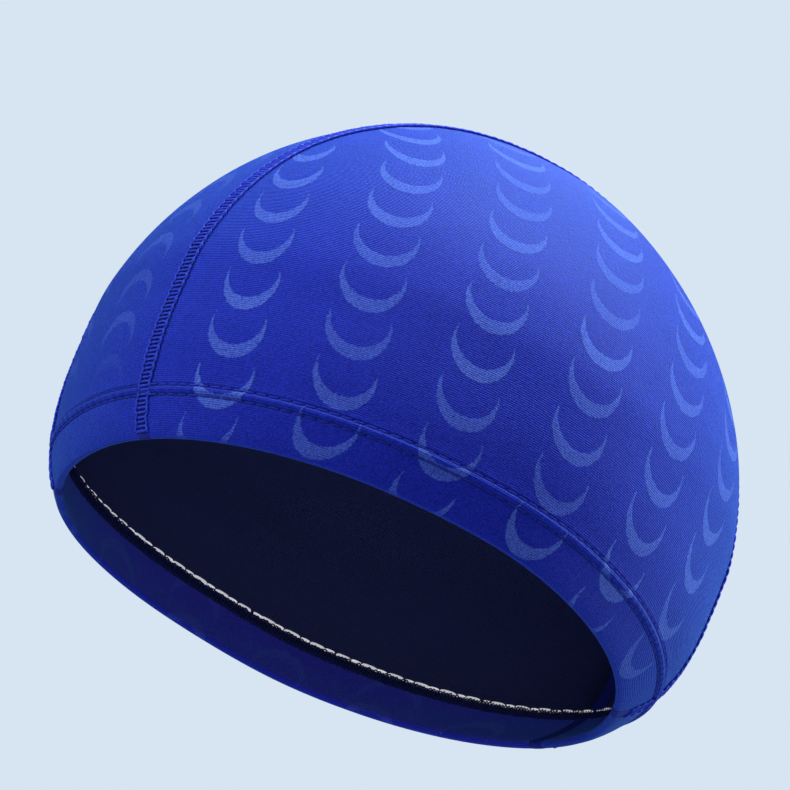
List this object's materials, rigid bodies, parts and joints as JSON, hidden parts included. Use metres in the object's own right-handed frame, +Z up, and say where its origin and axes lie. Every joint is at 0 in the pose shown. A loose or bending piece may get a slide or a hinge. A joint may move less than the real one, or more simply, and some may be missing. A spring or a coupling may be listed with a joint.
{
  "type": "swim cap",
  "caption": "Stretch-cloth swim cap of side panels and a middle strip joined by flat seams, with a turned-in hem round its open rim, in its worn form.",
  "frame": {"origin": "middle of the opening, on the rim, where the head goes in", "axes": "+Z up through the crown, -Y to the wearer's front, +X to the wearer's left"},
  "size_m": [0.1832, 0.2, 0.1488],
  "materials": {
    "cloth": "fine stretch knit with a soft sheen",
    "seam_thread": "matte sewing thread",
    "edge_thread": "fuzzy overlock thread"
  },
  "bodies": {
    "root": {"left_panel": "cloth", "right_panel": "cloth", "middle_panel": "cloth", "left_seam": "seam_thread", "right_seam": "seam_thread", "overlock_edge": "edge_thread"}
  },
  "joints": []
}
